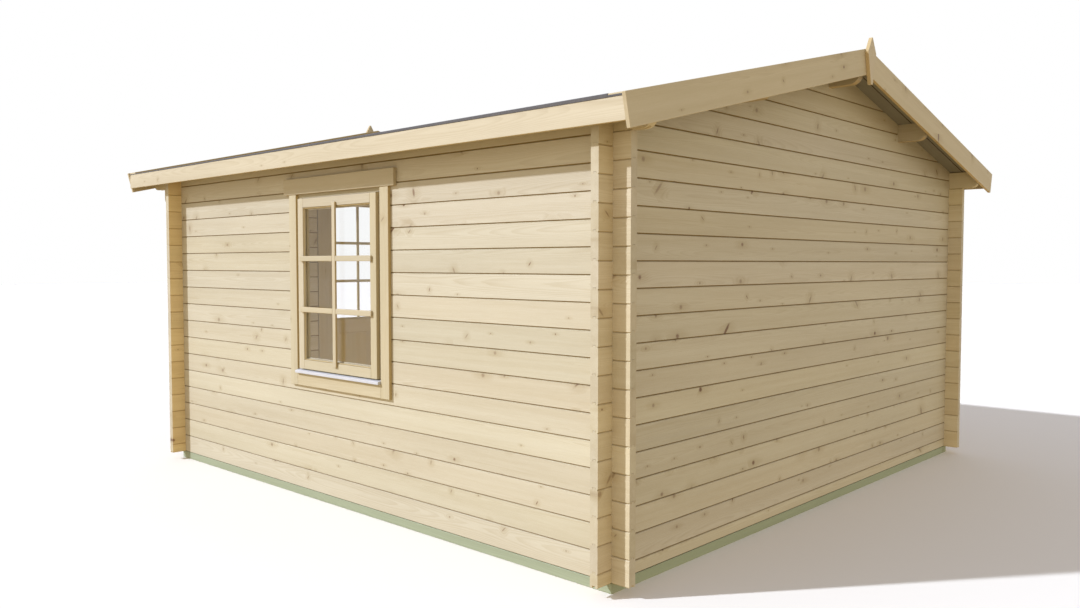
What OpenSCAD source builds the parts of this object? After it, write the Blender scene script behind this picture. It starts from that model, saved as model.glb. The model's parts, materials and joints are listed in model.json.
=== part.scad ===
// Log cabin with a square plan, crossed log corners and a low gabled roof.
// The front gable faces -Y and holds a half-glazed double door, a window sits in the right side wall (+X).
// Heights are counted from the ground, and the origin is under the middle of the roof.

/* [Cabin] */
// Width over the outer faces of the side walls
cabin_w = 3820; // [3000:10:4800]
// Depth over the outer faces of the gable walls
cabin_d = 3820; // [3000:10:4800]
// Number of log courses in a side wall
side_courses = 17; // [16:1:20]

/* [Logs] */
// Height of one log course
course = 114; // [95:1:140]
// Thickness of a log
log_t = 40; // [32:1:60]
// Length of the log ends past the crossing wall
corner_ext = 90; // [60:5:140]
// Chamfer along the long edges of a log
log_chamfer = 4; // [2:0.5:6]
// Width of the tongue on top of a log
tongue_w = 14; // [10:1:18]
// Height of the tongue on top of a log
tongue_h = 8; // [5:0.5:10]
// Length of the corbel log that carries the top log at the front
corbel_ext = 213; // [150:1:260]
// Radius of the rounded end under a beam or a corbel log
nose_r = 55; // [30:1:70]

/* [Foundation] */
// Height of the foundation beams
found_h = 45; // [35:1:70]
// Width of the foundation beams
found_w = 70; // [50:1:120]

/* [Roof] */
// Slope of the roof in degrees
roof_pitch = 13.8; // [10:0.1:22]
// Roof overhang in front, to the outer face of the bargeboards
front_overhang = 400; // [300:5:600]
// Roof overhang at the back, to the outer face of the bargeboards
back_overhang = 212; // [150:1:300]
// Roof overhang at the eaves, to the outer face of the fascia
eave_overhang = 170; // [120:1:240]
// Thickness of the roof boards
board_t = 19; // [15:1:28]
// Thickness of the roofing felt
felt_t = 4; // [2:0.5:6]
// Height of the felt's edge on top of the fascia
felt_lip = 16; // [8:1:24]
// Width of the bargeboards across the slope
barge_h = 135; // [100:1:180]
// Thickness of the bargeboards
barge_t = 18; // [15:1:28]
// Height of the bargeboard's top edge above the underside of the roof boards
barge_rise = 47; // [36:1:60]
// Length of the back bargeboards past the fascia
barge_tail = 25; // [10:1:50]
// Length of the front bargeboards past the fascia
front_tail = 12; // [10:1:50]
// Height of the fascia boards
fascia_h = 93; // [70:1:140]
// Thickness of the fascia boards
fascia_t = 18; // [15:1:28]
// Depth of the fascia's top edge below the bargeboard's top edge
fascia_drop = 14; // [8:1:20]
// Width of the battens along the gable edges
batten_w = 85; // [50:1:120]
// Thickness of the purlins and the ridge beam
purlin_t = 45; // [40:1:70]
// Height of the purlins
purlin_h = 103; // [90:1:150]
// Distance of the beams' ends behind the bargeboards
beam_setback = 20; // [0:1:60]
// Height of the ridge beam
ridge_beam_h = 135; // [100:1:180]
// Half width of the finial at its shoulders
finial_half_w = 50; // [30:1:70]
// Height of the finial's tip above its shoulders
finial_spike = 80; // [50:1:120]
// Length of the finial below its shoulders
finial_drop = 168; // [145:1:220]
// Thickness of the finial
finial_t = 20; // [15:1:28]

/* [Window] */
// Width of the window sash
sash_w = 738; // [500:1:950]
// Height of the window sash
sash_h = 969; // [700:1:1150]
// Width of the sash members
sash_bar = 52; // [40:1:80]
// Thickness of the sash
sash_t = 40; // [35:1:60]
// Height of the sash face above the wall's outer face
sash_proud = 22; // [10:1:30]
// Drop of the window opening's top below the top of the side wall
window_drop = 218; // [150:1:320]
// Overhang of the head board past the side trims
head_overhang = 51; // [20:1:90]
// Height of the head boards over the window and the door
head_h = 90; // [60:1:110]
// Thickness of the head boards
head_t = 22; // [18:1:30]
// Height of the window's drip sill
sill_h = 22; // [15:1:24]
// Projection of the window's drip sill
sill_out = 36; // [28:1:60]

/* [Door] */
// Width of one door leaf
leaf_w = 735; // [600:1:850]
// Thickness of a door leaf
leaf_t = 40; // [35:1:60]
// Height of the leaf face above the wall's outer face
leaf_proud = 18; // [10:1:30]
// Width of the leaf's stiles
stile_w = 120; // [90:1:150]
// Height of the leaf's top rail
top_rail_h = 100; // [80:1:140]
// Height of the leaf's bottom rail
bottom_rail_h = 150; // [100:1:200]
// Height of the leaf's lock rail under the glass
lock_rail_h = 110; // [80:1:150]
// Height of the glass above the leaf's bottom edge
glass_sill = 822; // [650:1:950]
// Thickness of the leaf's lower panel
panel_t = 20; // [12:1:28]
// Shift of the door from the middle of the front towards the window side
door_shift = 43; // [0:1:120]
// Drop of the door frame's top below the top of the side wall
door_drop = 18; // [0:1:80]
// Height of the door threshold
threshold_h = 30; // [20:1:50]

/* [Frames] */
// Width of the window and door frame members
jamb_w = 45; // [35:1:70]
// Projection of the frames past the wall's inner face
frame_inset = 6; // [0:1:20]
// Width of the stop that a sash or a leaf closes against
stop_w = 14; // [10:1:25]
// Part of the frame that shows beside the trim
reveal = 22; // [15:1:30]
// Width of the trim boards
trim_w = 72; // [50:1:100]
// Thickness of the trim boards
trim_t = 18; // [12:1:25]
// Thickness of the glass
glass_t = 4; // [3:1:8]

/* [Hinges and handle] */
// Radius of the hinge knuckles
knuckle_r = 8; // [6:0.5:10]
// Length of one hinge knuckle
knuckle_l = 45; // [30:1:60]
// Thickness of the hinge plates
plate_t = 3; // [2:0.5:4]
// Length of a hinge plate on the leaf
plate_l = 45; // [30:1:70]
// Distance of the upper and lower hinges from the leaf's ends
hinge_inset = 180; // [120:1:260]
// Height of the door handle above the ground
handle_z = 1030; // [950:1:1100]
// Length of the handle's lever
lever_l = 125; // [90:1:150]

/* [Hidden] */
$fn = 48;
// Gap between boards that meet in one frame
joint_gap = 0.4;
// Side clearance of a notch or a housing
fit_gap = 0.2;
// Clearance of the frames in the wall openings
opening_gap = 2;
// Clearance around the window sash
sash_gap = 4;
// Clearance between a sash or a panel and its seat
seat_gap = 0.3;
// Clearance around the door leaves and between them
leaf_gap = 5;
meeting_gap = 8;
// Depth of the planed edge on the outside of the top log
eave_plane = 6;
// Clearance of the tongue in the groove of the log above
groove_gap = 1;
// Clearance between the roof boards and the timber that carries them
bed_gap = 0.05;
// Oversize of cutting shapes
over = 10;

base = found_h;
half_w = cabin_w / 2;
half_d = cabin_d / 2;
wall_top = base + side_courses * course;
slope = tan(roof_pitch);
ridge_under = wall_top - eave_plane + half_w * slope;
board_v = board_t / cos(roof_pitch);
barge_v = barge_h / cos(roof_pitch);
roof_front = -(half_d + front_overhang - barge_t);
roof_back = half_d + back_overhang - barge_t;
fascia_x = half_w + eave_overhang;
plan_shift = (front_overhang - back_overhang) / 2;
gable_courses = ceil((ridge_under - base) / course + 0.5);
purlin_x = half_w / 2 + 10;

window_top = wall_top - window_drop;
sash_top = window_top - opening_gap - jamb_w - sash_gap;
sash_bottom = sash_top - sash_h;
frame_depth = log_t + frame_inset;
door_top = wall_top - door_drop;
leaf_bottom = base + threshold_h + leaf_gap;
leaf_top = door_top - jamb_w - leaf_gap;
door_clear = 2 * leaf_w + meeting_gap + 2 * leaf_gap;
axis_out = leaf_proud + knuckle_r + 1;
axis_u = leaf_w + meeting_gap / 2;

// Height of the underside of the roof boards at a distance from the ridge
function roof_under(x) = ridge_under - abs(x) * slope;

// Outline of a log's end, with a tongue on top and a groove below
function log_outline(h) =
    let (t = log_t / 2, c = log_chamfer, g = tongue_w / 2 + groove_gap, k = tongue_w / 2)
    [
        [-t, c], [-t + c, 0], [-g, 0], [-g, tongue_h + groove_gap], [g, tongue_h + groove_gap], [g, 0],
        [t - c, 0], [t, c], [t, h - c], [t - c, h], [k, h], [k, h + tongue_h], [-k, h + tongue_h], [-k, h],
        [-t + c, h], [-t, h - c]
    ];

// Box between two corners
module block(low, high) translate(low) cube(high - low);

// Log along X between two ends, with its bottom at a given height
module log_along_x(from, to, z, h)
    translate([from, 0, z]) rotate([90, 0, 90]) linear_extrude(to - from) polygon(log_outline(h));

// Log along Y between two ends
module log_along_y(from, to, z, h) rotate([0, 0, 90]) log_along_x(from, to, z, h);

// Everything under the roof boards
module space_under_roof() {
    far = cabin_w;
    deep = cabin_d + 2 * (front_overhang + back_overhang);
    rotate([90, 0, 0]) linear_extrude(deep, center = true)
        polygon([
            [-far, -over], [far, -over], [far, roof_under(far)], [0, ridge_under], [-far, roof_under(far)]
        ]);
}

module cut_to_roof(wanted) {
    if (wanted) intersection() {
        children();
        space_under_roof();
    } else children();
}

// What a quarter-round nose takes off the lower corner of a beam that ends at Y = 0 and runs towards -Y
module nose_cut(w) difference() {
    translate([-w / 2 - over, -nose_r, -over]) cube([w + 2 * over, nose_r + over, nose_r + over]);
    translate([0, -nose_r, nose_r]) rotate([0, 90, 0]) cylinder(r = nose_r, h = w + 4 * over, center = true);
}

// Noses at the front and back ends of a beam along Y
module beam_noses(x, z, from, to, w, front = true, back = true) {
    if (back) translate([x, to, z]) nose_cut(w);
    if (front) translate([x, from, z]) mirror([0, 1, 0]) nose_cut(w);
}

// Part taken out of a log where a crossing log passes, between two heights
module lap(x, y, low, high) {
    r = log_t / 2 + fit_gap;
    block([x - r, y - r, low], [x + r, y + r, high]);
}

// Beam along Y under the roof boards, cut to the slope and rounded at both ends
module roof_beam(x, h, grow = 0) {
    z = roof_under(x) - h;
    r = purlin_t / 2 + grow;
    from = roof_front + beam_setback;
    to = roof_back - beam_setback;
    difference() {
        cut_to_roof(grow == 0) block([x - r, from, z], [x + r, to, roof_under(x) + over]);
        if (grow == 0) beam_noses(x, z, from, to, purlin_t);
    }
}

// Local frames of the two walls with openings: along the wall, up, and outwards from the outer face
module on_right_wall() translate([half_w, 0, 0]) rotate([90, 0, 90]) children();
module on_front_wall() translate([door_shift, -half_d, 0]) rotate([90, 0, 0]) children();

module window_opening() on_right_wall() {
    r = sash_w / 2 + sash_gap + jamb_w + opening_gap;
    block([-r, sash_bottom - sash_gap - jamb_w - opening_gap, -log_t - over], [r, window_top, over]);
}

module door_opening() on_front_wall() {
    r = door_clear / 2 + jamb_w + opening_gap;
    block([-r, base - over, -log_t - over], [r, door_top + opening_gap, over]);
}

// One log of a side wall, course k counted from 0
module side_log(side, k) {
    is_top = k == side_courses - 1;
    is_corbel = k == side_courses - 2;
    z = base + k * course;
    x = side * (half_w - log_t / 2);
    from = is_top ? roof_front : is_corbel ? -(half_d + corbel_ext) : -(half_d + corner_ext);
    to = is_top ? roof_back : half_d + corner_ext;
    difference() {
        cut_to_roof(is_top) translate([x, 0, 0]) log_along_y(from, to, z, course);
        for (end = [-1, 1]) {
            lap(x, end * (half_d - log_t / 2), z - over, z + course / 4);
            lap(x, end * (half_d - log_t / 2), z + course * 3 / 4, z + course + tongue_h + over);
        }
        if (is_top || is_corbel) beam_noses(x, z, from, to, log_t, back = is_top);
        if (side > 0) window_opening();
    }
}

// One log of a gable wall: course 0 is a half log, so that the joints lie half a course off the side walls'
module gable_log(end, i) {
    is_half = i == 0;
    z = base + (is_half ? 0 : (i - 0.5) * course);
    h = is_half ? course / 2 : course;
    y = end * (half_d - log_t / 2);
    reach = half_w + corner_ext;
    crosses = z < wall_top;
    difference() {
        cut_to_roof(z + h + tongue_h > roof_under(reach))
            translate([0, y, 0]) log_along_x(-reach, reach, z, h);
        if (crosses) for (side = [-1, 1]) {
            if (!is_half) lap(side * (half_w - log_t / 2), y, z - over, z + course / 4);
            lap(side * (half_w - log_t / 2), y, z + h - course / 4, z + h + tongue_h + over);
        }
        for (x = [-purlin_x, purlin_x])
            if (z + h + tongue_h > roof_under(x) - purlin_h) roof_beam(x, purlin_h, fit_gap);
        if (z + h + tongue_h > ridge_under - ridge_beam_h) roof_beam(0, ridge_beam_h, fit_gap);
        if (end < 0) door_opening();
    }
}

module side_wall(side, first) color("#e2d2a4") for (k = [first : 2 : side_courses - 1]) side_log(side, k);
module gable_wall(end, first) color("#d9c797") for (i = [first : 2 : gable_courses - 1]) gable_log(end, i);

module foundation_sides() color("#a9b58a") for (side = [-1, 1])
    translate([side * (half_w - found_w / 2), 0, found_h / 2])
        cube([found_w, cabin_d, found_h], center = true);

module foundation_ends() color("#a9b58a") for (end = [-1, 1])
    translate([0, end * (half_d - found_w / 2), found_h / 2])
        cube([cabin_w - 2 * found_w, found_w, found_h], center = true);

module ridge_beam() color("#cbb683") roof_beam(0, ridge_beam_h);
module purlins() color("#cbb683") for (x = [-purlin_x, purlin_x]) roof_beam(x, purlin_h);

// Piece of one roof slope: an outline across the slope, given for the right side, drawn out along the ridge
module along_roof(side, from, to) {
    mirror([side < 0 ? 1 : 0, 0, 0])
        translate([0, to, 0]) rotate([90, 0, 0]) linear_extrude(to - from) children();
}

board_end = fascia_x - fascia_t;
fascia_top = roof_under(fascia_x) + barge_rise - fascia_drop;
ridge_side = joint_gap / 2;

module roof_boards(side) color("#cdb98a") along_roof(side, roof_front, roof_back) polygon([
    [ridge_side, roof_under(ridge_side) + bed_gap], [board_end, roof_under(board_end) + bed_gap],
    [board_end, roof_under(board_end) + board_v], [ridge_side, roof_under(ridge_side) + board_v]
]);

// Felt that lies on the boards between the gable battens, and ends in a thick lip on the fascia
module roof_felt(side) {
    lip_in = board_end - 60;
    felt_v = felt_t / cos(roof_pitch);
    lip_out = fascia_x + 2;
    color("#5c5860") along_roof(side, roof_front + batten_w, roof_back - batten_w) polygon([
        [ridge_side, roof_under(ridge_side) + board_v], [board_end, roof_under(board_end) + board_v],
        [board_end, fascia_top], [lip_out, fascia_top], [lip_out, fascia_top + felt_lip],
        [lip_in, roof_under(lip_in) + board_v + felt_v],
        [ridge_side, roof_under(ridge_side) + board_v + felt_v]
    ]);
}

module fascia_boards() color("#dccba0") for (side = [-1, 1]) along_roof(side, roof_front, roof_back)
    translate([board_end, fascia_top - fascia_h]) square([fascia_t, fascia_h]);

// Battens on the roof boards behind the bargeboards, level with their top edges
module gable_battens() color("#d6c598")
    for (side = [-1, 1], from = [roof_front, roof_back - batten_w])
    along_roof(side, from, from + batten_w) polygon([
        [ridge_side, roof_under(ridge_side) + board_v], [board_end, roof_under(board_end) + board_v],
        [board_end, fascia_top], [fascia_x, fascia_top], [fascia_x, roof_under(fascia_x) + barge_rise],
        [ridge_side, roof_under(ridge_side) + barge_rise]
    ]);

// Pair of bargeboards whose inner face is at a given place along the ridge, with ends cut square to the slope
module bargeboards(from, tail) {
    tail_x = fascia_x + tail;
    foot_x = tail_x - barge_h * sin(roof_pitch);
    color("#c3ae80") for (side = [-1, 1]) along_roof(side, from, from + barge_t) polygon([
        [ridge_side, roof_under(ridge_side) + barge_rise - barge_v],
        [foot_x, roof_under(foot_x) + barge_rise - barge_v],
        [tail_x, roof_under(tail_x) + barge_rise], [ridge_side, roof_under(ridge_side) + barge_rise]
    ]);
}

// Kite-shaped boards over the joints of the bargeboards
module finials() {
    shoulder = ridge_under + barge_rise - 26;
    foot = 12;
    tip = 3;
    places = [roof_front - barge_t - finial_t, roof_back + barge_t];
    color("#c3ae80") for (from = places) along_roof(1, from, from + finial_t) polygon([
        [-foot, shoulder - finial_drop], [foot, shoulder - finial_drop], [finial_half_w, shoulder],
        [tip, shoulder + finial_spike], [-tip, shoulder + finial_spike], [-finial_half_w, shoulder]
    ]);
}

// Upright frame member with a stop behind the leaf or sash, its clear edge at u and its body towards the side
module jamb(side, u, low, high, seat) {
    a = u + side * jamb_w;
    b = u - side * stop_w;
    block([min(u, a), low, -seat - over / 10], [max(u, a), high, 0]);
    block([min(a, b), low, -frame_depth], [max(a, b), high, -seat]);
}

// Level frame member between two jambs, its clear edge at v and its body up or down
module frame_rail(way, v, r, seat) {
    a = v + way * jamb_w;
    b = v - way * stop_w;
    inner = r - stop_w - joint_gap;
    outer = r - joint_gap;
    block([-outer, min(v, a), -seat + joint_gap], [outer, max(v, a), 0]);
    block([-inner, min(v, a), -seat - over / 10], [inner, max(v, a), -seat + over / 10]);
    block([-inner, min(a, b), -frame_depth], [inner, max(a, b), -seat]);
}

// Stiles and rails of a sash or a leaf: u is its middle, rails holds each rail's lower and upper edge
module leaf_members(u, w, low, high, bar, rails, back, front) {
    for (side = [-1, 1]) {
        edge = u + side * w / 2;
        block([min(edge, edge - side * bar), low, back], [max(edge, edge - side * bar), high, front]);
    }
    r = w / 2 - bar - joint_gap;
    for (rail = rails) block([u - r, rail[0], back], [u + r, rail[1], front]);
}

module window_frame() color("#e6d9b0") on_right_wall() {
    r = sash_w / 2 + sash_gap;
    seat = sash_t - sash_proud + seat_gap;
    low = sash_bottom - sash_gap;
    high = sash_top + sash_gap;
    for (side = [-1, 1]) jamb(side, side * r, low - jamb_w, high + jamb_w, seat);
    frame_rail(1, high, r, seat);
    frame_rail(-1, low, r, seat);
}

module window_sash() color("#e8dcb6") on_right_wall()
    leaf_members(0, sash_w, sash_bottom, sash_top, sash_bar,
        [[sash_bottom, sash_bottom + sash_bar], [sash_top - sash_bar, sash_top]],
        sash_proud - sash_t, sash_proud);

module window_glass() color("#b9c3c4", 0.4) on_right_wall() {
    r = sash_w / 2 - sash_bar - seat_gap;
    middle = sash_proud - sash_t / 2;
    block([-r, sash_bottom + sash_bar + seat_gap, middle - glass_t / 2],
        [r, sash_top - sash_bar - seat_gap, middle + glass_t / 2]);
}

trim_in = sash_w / 2 + sash_gap + reveal;
window_head = sash_top + sash_gap + reveal;
window_foot = sash_bottom - sash_gap - sill_h;

// Side trims and the board under the sill
module window_trim() color("#e8dcb6") on_right_wall() {
    for (side = [-1, 1]) {
        edge = side * trim_in;
        block([min(edge, edge + side * trim_w), window_foot - trim_w, 0],
            [max(edge, edge + side * trim_w), window_head, trim_t]);
    }
    block([-trim_in + joint_gap, window_foot - trim_w, 0], [trim_in - joint_gap, window_foot, trim_t]);
}

module window_head_board() color("#c8b68a") on_right_wall() {
    r = trim_in + trim_w + head_overhang;
    block([-r, window_head, 0], [r, window_head + head_h, head_t]);
}

// Drip sill with a sloping top
module window_sill() color("#c9c9cb") on_right_wall()
    translate([-trim_in + joint_gap, 0, 0]) rotate([90, 0, 90]) linear_extrude(2 * (trim_in - joint_gap))
        polygon([
            [window_foot, 0], [window_foot + sill_h, 0],
            [window_foot + sill_h * 0.7, sill_out], [window_foot, sill_out]
        ]);

module door_frame() color("#e0d2a6") on_front_wall() {
    r = door_clear / 2;
    seat = leaf_t - leaf_proud + leaf_gap;
    for (side = [-1, 1]) jamb(side, side * r, base, door_top, seat);
    frame_rail(1, door_top - jamb_w, r, seat);
}

module door_threshold() color("#8d6b45") on_front_wall() {
    r = door_clear / 2 - stop_w - joint_gap;
    block([-r, base, -frame_depth], [r, base + threshold_h, trim_t]);
}

door_trim_in = door_clear / 2 + reveal;
door_head = door_top - jamb_w + reveal;

module door_trim() color("#e0d2a6") on_front_wall() for (side = [-1, 1]) {
    edge = side * door_trim_in;
    block([min(edge, edge + side * trim_w), base, 0], [max(edge, edge + side * trim_w), door_head, trim_t]);
}

module door_head_board() color("#c8b68a") on_front_wall() {
    r = door_trim_in + trim_w + head_overhang;
    block([-r, door_head, 0], [r, door_head + head_h, head_t]);
}

leaf_middle = leaf_w / 2 + meeting_gap / 2;
glass_low = leaf_bottom + glass_sill;
glass_high = leaf_top - top_rail_h;
panel_low = leaf_bottom + bottom_rail_h;
panel_high = glass_low - lock_rail_h;
leaf_back = leaf_proud - leaf_t;

module leaf_frame(side) color("#e0d2a6") on_front_wall()
    leaf_members(side * leaf_middle, leaf_w, leaf_bottom, leaf_top, stile_w,
        [[leaf_bottom, panel_low], [panel_high, glass_low], [glass_high, leaf_top]], leaf_back, leaf_proud);

// Sheet between the stiles of a leaf, from one height to another
module leaf_sheet(side, low, high, t) on_front_wall() {
    r = leaf_w / 2 - stile_w - seat_gap;
    middle = leaf_proud - leaf_t / 2;
    block([side * leaf_middle - r, low + seat_gap, middle - t / 2],
        [side * leaf_middle + r, high - seat_gap, middle + t / 2]);
}

module leaf_panel(side) color("#dccda0") leaf_sheet(side, panel_low, panel_high, panel_t);
module leaf_glass(side) color("#b9c3c4", 0.4) leaf_sheet(side, glass_low, glass_high, glass_t);

hinge_heights = [leaf_bottom + hinge_inset, (leaf_bottom + leaf_top) / 2, leaf_top - hinge_inset];

// Hinge knuckle with its plate, which reaches from the axis to a place along the wall
module hinge_half(u, to, face, low) {
    translate([u, low, axis_out]) rotate([-90, 0, 0]) cylinder(r = knuckle_r, h = knuckle_l);
    block([min(u, to), low, face], [max(u, to), low + knuckle_l, face + plate_t]);
}

module frame_hinges() color("#77777a") on_front_wall() for (side = [-1, 1], v = hinge_heights)
    hinge_half(side * axis_u, side * (door_trim_in + plate_l), trim_t, v - knuckle_l - joint_gap);

module leaf_hinges(side) color("#77777a") on_front_wall() for (v = hinge_heights)
    hinge_half(side * axis_u, side * (axis_u - plate_l), leaf_proud, v);

// Lever handle on a long plate, standing on the leaf's face and pointing towards the hinge
module lever_handle(side) {
    plate = [40, 220, 5];
    neck_r = 9;
    neck_l = 40;
    translate([-plate.x / 2, -plate.y / 2 - 40, 0]) cube(plate);
    cylinder(r = neck_r, h = neck_l + neck_r);
    translate([0, 0, neck_l]) rotate([0, 90, 0]) cylinder(r = neck_r, h = side * lever_l);
}

module door_handles() color("#8a8a8c") on_front_wall() {
    u = meeting_gap / 2 + stile_w / 2;
    translate([u, handle_z, leaf_proud]) lever_handle(1);
    translate([u, handle_z, leaf_back]) mirror([0, 0, 1]) lever_handle(1);
}

module placed() translate([0, plan_shift, 0]) children();

placed() foundation_sides();
placed() foundation_ends();
placed() side_wall(1, 0);  // right_wall_odd_logs
placed() side_wall(1, 1);  // right_wall_even_logs
placed() side_wall(-1, 0);  // left_wall_odd_logs
placed() side_wall(-1, 1);  // left_wall_even_logs
placed() gable_wall(1, 0);  // back_wall_odd_logs
placed() gable_wall(1, 1);  // back_wall_even_logs
placed() gable_wall(-1, 0);  // front_wall_odd_logs
placed() gable_wall(-1, 1);  // front_wall_even_logs
placed() ridge_beam();
placed() purlins();
placed() roof_boards(1);  // right_roof_boards
placed() roof_boards(-1);  // left_roof_boards
placed() roof_felt(1);  // right_roof_felt
placed() roof_felt(-1);  // left_roof_felt
placed() fascia_boards();
placed() bargeboards(roof_back, barge_tail);  // back_bargeboards
placed() bargeboards(roof_front - barge_t, front_tail);  // front_bargeboards
placed() gable_battens();
placed() finials();
placed() window_frame();
placed() window_sash();
placed() window_glass();
placed() window_trim();
placed() window_head_board();
placed() window_sill();
placed() door_frame();
placed() door_threshold();
placed() door_trim();
placed() door_head_board();
placed() frame_hinges();
placed() leaf_frame(-1);  // left_leaf_frame
placed() leaf_panel(-1);  // left_leaf_panel
placed() leaf_glass(-1);  // left_leaf_glass
placed() leaf_hinges(-1);  // left_leaf_hinges
placed() leaf_frame(1);  // right_leaf_frame
placed() leaf_panel(1);  // right_leaf_panel
placed() leaf_glass(1);  // right_leaf_glass
placed() leaf_hinges(1);  // right_leaf_hinges
placed() door_handles();
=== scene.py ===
import json
import math

import bmesh
import bpy
from mathutils import Matrix, Vector


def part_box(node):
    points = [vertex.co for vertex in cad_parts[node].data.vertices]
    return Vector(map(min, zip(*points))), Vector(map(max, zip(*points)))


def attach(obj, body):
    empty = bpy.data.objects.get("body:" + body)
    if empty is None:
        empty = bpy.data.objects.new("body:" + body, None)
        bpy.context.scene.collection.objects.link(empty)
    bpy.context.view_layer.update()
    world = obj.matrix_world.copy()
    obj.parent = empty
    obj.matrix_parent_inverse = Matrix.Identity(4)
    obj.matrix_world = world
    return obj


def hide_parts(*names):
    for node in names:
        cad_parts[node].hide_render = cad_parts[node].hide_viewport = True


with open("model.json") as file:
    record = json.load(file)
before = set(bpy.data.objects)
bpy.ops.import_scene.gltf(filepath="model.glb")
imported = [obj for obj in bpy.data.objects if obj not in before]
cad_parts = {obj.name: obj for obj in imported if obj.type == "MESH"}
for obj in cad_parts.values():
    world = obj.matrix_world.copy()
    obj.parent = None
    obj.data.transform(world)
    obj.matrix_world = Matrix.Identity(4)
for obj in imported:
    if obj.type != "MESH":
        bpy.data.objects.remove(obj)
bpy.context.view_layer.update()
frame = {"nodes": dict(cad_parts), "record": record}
nodes = frame["nodes"]
record = frame["record"]
scene = bpy.context.scene

BODY_OF_NODE = {node: body for body, names in record["behaviour"]["bodies"].items()
                for node in names}
SLOT_OF_NODE = {part["node"]: part["material_slot"] for part in record["subparts"]}

ROOF_PITCH = math.radians(13.8)
SLOPE = math.tan(ROOF_PITCH)

# Outer faces of the walls. Past them the logs end in short stubs
WALL_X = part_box("foundation_sides")[1].x
WALL_FRONT, WALL_BACK = (v.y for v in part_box("foundation_ends"))

# Directions along the wall, up and outwards, for the walls with the window and with the door
WINDOW_WALL = Matrix(((0, 0, 1, 0), (1, 0, 0, 0), (0, 1, 0, 0), (0, 0, 0, 1)))
DOOR_WALL = Matrix(((1, 0, 0, 0), (0, 0, -1, 0), (0, 1, 0, 0), (0, 0, 0, 1)))

# Corners this near are one, and points this near lie in one plane
WELD, IN_PLANE = 1e-5, 1e-4

# Gaps beside a fitted piece and under one that lies on another
HAIR, BED = 0.0003, 0.0002
MILLIMETRE = 0.001


# Materials

KNOT_BROWN = (0.165, 0.082, 0.031)
KNOTS_ALONG, KNOTS_ACROSS = 5.0, 8.77
BOARD_TONE = 0.09
TIMBER_ROUGHNESS = 0.68
END_GRAIN_TINT = (0.86, 0.80, 0.70)

# Tints that lie over the wood where a face or a corner carries the mark: painted bounce light and
# painted shade
MARK_TINTS = {
    # Painted warm bounce light on the narrow edges of thin boards
    "edge_painted_bounce": (0.96, 0.85, 0.62),
    # Painted warm bounce light on the log stubs past the wall crossings
    "stub_painted_bounce": (1.38, 1.21, 0.88),
    # Painted shade, cool and dark, on the downward faces of the roof boards beyond the gable walls
    "overhang_painted_shade": (0.52, 0.60, 0.78),
    # Painted shade in the grooves between logs and between boards, darkest on faces that look down
    "groove": (0.37, 0.265, 0.065),
}


def node_of(tree, kind, links=None, **settings):
    """A shader node with its settings, and its inputs linked or set."""
    made = tree.nodes.new(kind)
    for name, value in settings.items():
        setattr(made, name, value)
    for key, value in (links or {}).items():
        if isinstance(value, bpy.types.NodeSocket):
            tree.links.new(value, made.inputs[key])
        else:
            made.inputs[key].default_value = value
    return made


def attribute(tree, name, output="Fac"):
    return node_of(tree, "ShaderNodeAttribute", attribute_name=name).outputs[output]


def calc(tree, operation, a, b=0.0, c=0.0):
    return node_of(tree, "ShaderNodeMath", {0: a, 1: b, 2: c}, operation=operation).outputs[0]


def scaled(tree, value, factor):
    return calc(tree, "MULTIPLY", value, factor)


def spread(tree, value, width, middle=0.0):
    """A value from 0 to 1, laid out evenly around a middle."""
    return calc(tree, "MULTIPLY_ADD", value, width, middle - width / 2)


def total(tree, first, *others):
    for value in others:
        first = calc(tree, "ADD", first, value)
    return first


def distance(tree, a, b):
    square = calc(tree, "MULTIPLY_ADD", a, a, scaled(tree, b, b))
    return calc(tree, "SQRT", square)


def ramp(tree, value, start, end, low=0.0, high=1.0):
    """Smooth step of a value between start and end."""
    links = {"Value": value, "From Min": start, "From Max": end, "To Min": low, "To Max": high}
    made = node_of(tree, "ShaderNodeMapRange", links, interpolation_type="SMOOTHSTEP")
    return made.outputs["Result"]


def blend_colour(tree, factor, a, b, way="MIX"):
    mix = node_of(tree, "ShaderNodeMix", data_type="RGBA", blend_type=way, clamp_factor=True)
    for key, value in ((0, factor), (6, a), (7, b)):
        if isinstance(value, bpy.types.NodeSocket):
            tree.links.new(value, mix.inputs[key])
        else:
            mix.inputs[key].default_value = value if key == 0 else (*value, 1.0)
    return mix.outputs[2]


def speckle(tree, vector, scale, detail=2.0, roughness=0.5):
    links = {"Vector": vector, "Scale": scale, "Detail": detail, "Roughness": roughness}
    return node_of(tree, "ShaderNodeTexNoise", links).outputs["Fac"]


def point(tree, x, y, z):
    return node_of(tree, "ShaderNodeCombineXYZ", {0: x, 1: y, 2: z}).outputs[0]


def split_point(tree, vector):
    return node_of(tree, "ShaderNodeSeparateXYZ", {0: vector}).outputs


def split_colour(tree, colour):
    return node_of(tree, "ShaderNodeSeparateColor", {0: colour}).outputs


def object_spot(tree):
    return node_of(tree, "ShaderNodeTexCoord").outputs["Object"]


def roughen(tree, shader, height, strength, depth):
    """Bump on a shader from a height."""
    links = {"Strength": strength, "Distance": depth, "Height": height}
    bump = node_of(tree, "ShaderNodeBump", links)
    tree.links.new(bump.outputs[0], shader.inputs["Normal"])


def blank_material(name):
    made = bpy.data.materials.new(name)
    made.use_nodes = True
    return made, made.node_tree, made.node_tree.nodes["Principled BSDF"]


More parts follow.
